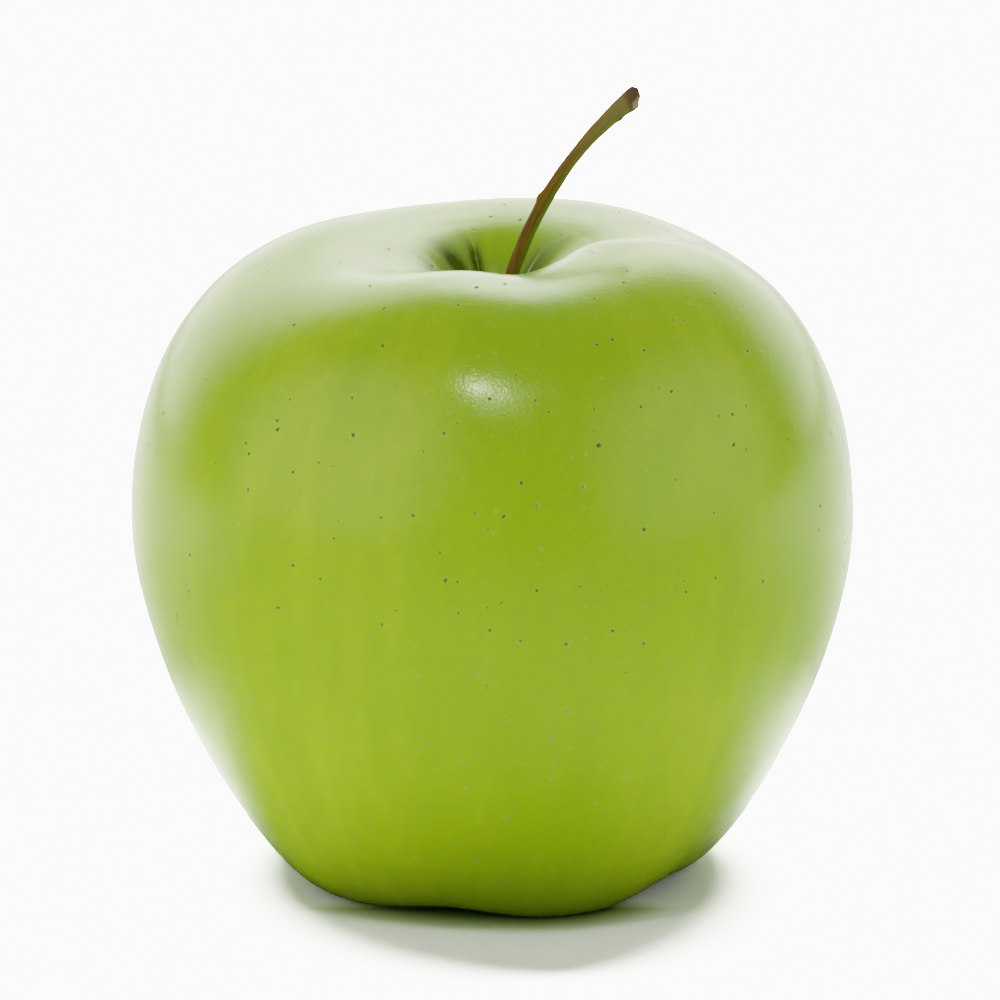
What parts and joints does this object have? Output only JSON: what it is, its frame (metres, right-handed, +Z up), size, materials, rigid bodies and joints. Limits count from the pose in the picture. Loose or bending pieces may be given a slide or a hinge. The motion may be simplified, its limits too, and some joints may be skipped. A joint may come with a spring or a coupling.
{
  "type": "apple",
  "caption": "Ripe green apple with a tapered body, a deep stem cavity, a leaning stem and a lobed foot round a dried calyx, standing upright.",
  "frame": {"origin": "on the surface that the apple stands on, under the middle of the fruit", "axes": "+Z up, from the calyx to the stem; -Y is the front, and the stem leans towards +X"},
  "size_m": [0.0792, 0.0811, 0.0879],
  "materials": {
    "skin": "satin",
    "stem": "matte",
    "sepals": "matte",
    "stamens": "matte"
  },
  "bodies": {
    "root": {"fruit": "skin", "stem": "stem", "sepal_1": "sepals", "sepal_2": "sepals", "sepal_3": "sepals", "sepal_4": "sepals", "sepal_5": "sepals", "stamens": "stamens", "styles": "stamens"}
  },
  "joints": []
}
